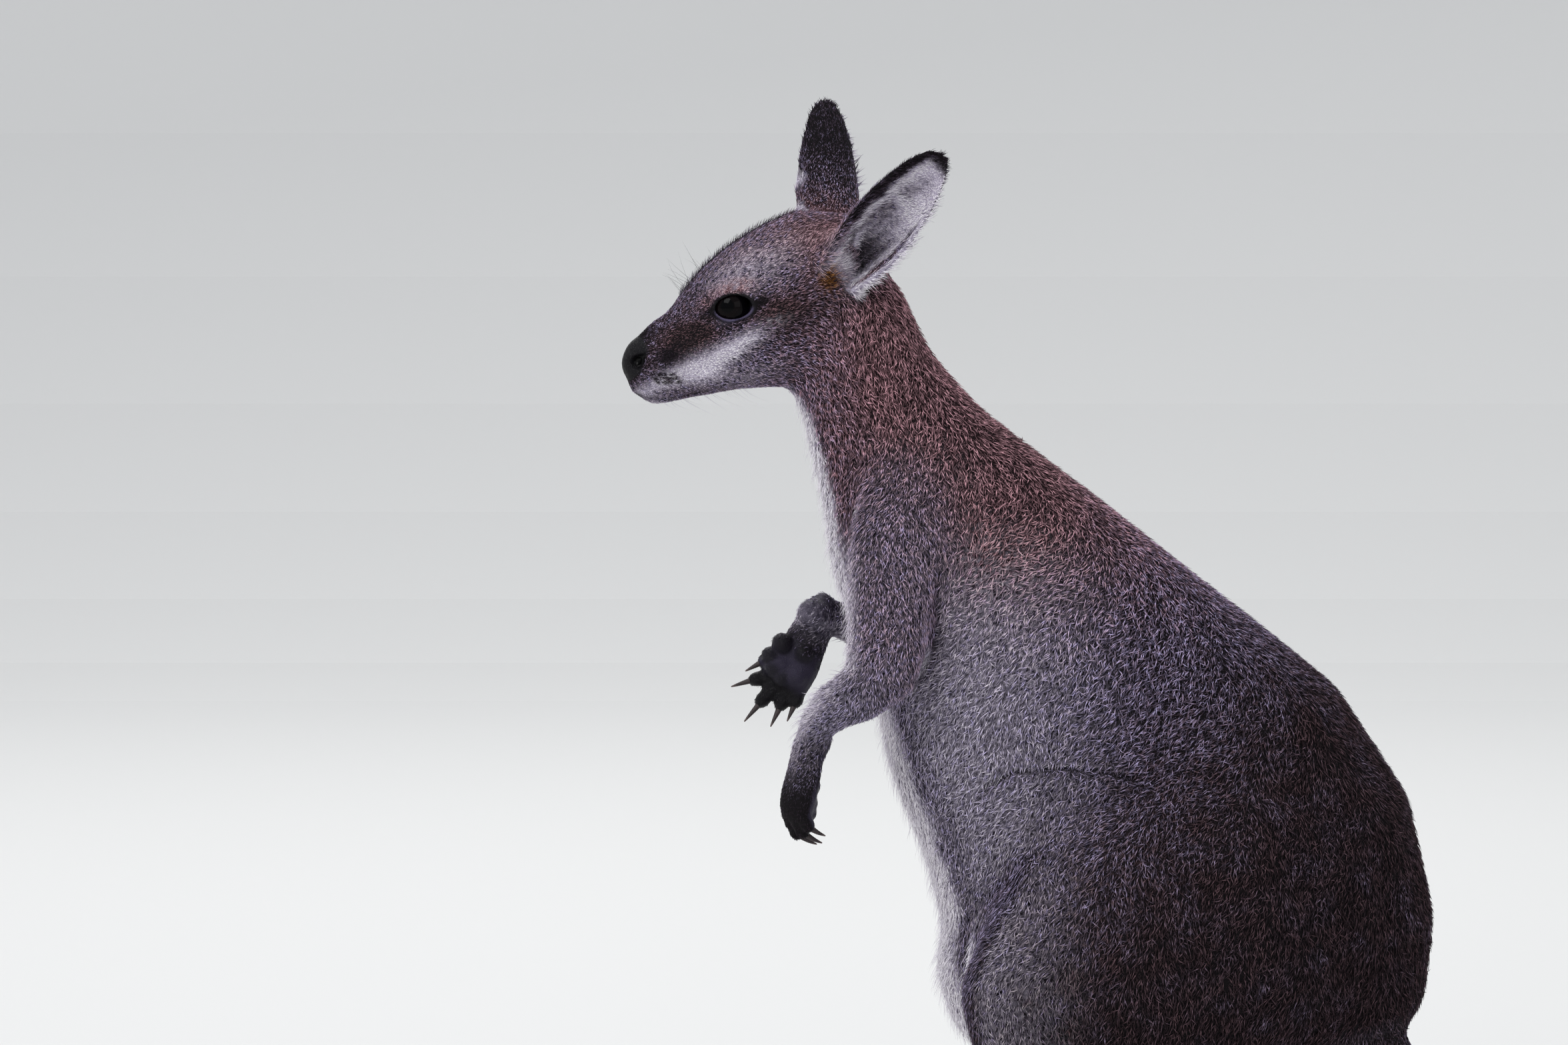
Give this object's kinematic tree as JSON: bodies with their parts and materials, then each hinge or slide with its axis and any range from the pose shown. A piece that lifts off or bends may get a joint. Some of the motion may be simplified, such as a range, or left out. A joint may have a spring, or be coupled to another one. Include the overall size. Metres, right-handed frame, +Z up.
{
  "type": "red-necked wallaby",
  "caption": "Life-size still museum model of a red-necked wallaby, sitting up on its long hind feet and tail with its arms hanging and its ears turned",
  "frame": {"origin": "middle of the underside of the whole animal's bounding box, at floor level", "axes": "+X from the nose towards the tip of the tail, +Y to the animal's right, +Z up"},
  "size_m": [1.021, 0.2242, 0.6328],
  "materials": {
    "coat": "grizzled grey-brown fur, matt",
    "nape": "rusty red-brown fur, matt",
    "ear": "short dark fur outside, long white hairs inside",
    "paw": "black short fur and bare wrinkled pads, dull sheen",
    "claw": "dark horn, satin",
    "eye": "dark brown, wet gloss"
  },
  "bodies": {
    "root": {"claw_index_l": "claw", "claw_index_r": "claw", "claw_little_l": "claw", "claw_little_r": "claw", "claw_middle_l": "claw", "claw_middle_r": "claw", "claw_ring_l": "claw", "claw_ring_r": "claw", "claw_thumb_l": "claw", "claw_thumb_r": "claw", "ear_l": "ear", "ear_r": "ear", "eye_l": "eye", "eye_r": "eye", "foot_l": "paw", "foot_r": "paw", "forearm_l": "coat", "forearm_r": "coat", "hand_l": "paw", "hand_r": "paw", "head": "coat", "neck": "nape", "shin_l": "coat", "shin_r": "coat", "tail_middle": "coat", "tail_root": "coat", "tail_tip": "coat", "thigh_l": "coat", "thigh_r": "coat", "toe_claw_fifth_l": "claw", "toe_claw_fifth_r": "claw", "toe_claw_fourth_l": "claw", "toe_claw_fourth_r": "claw", "toe_claw_second_l": "claw", "toe_claw_second_r": "claw", "toe_claw_third_l": "claw", "toe_claw_third_r": "claw", "trunk": "coat", "upper_arm_l": "coat", "upper_arm_r": "coat"}
  },
  "joints": []
}
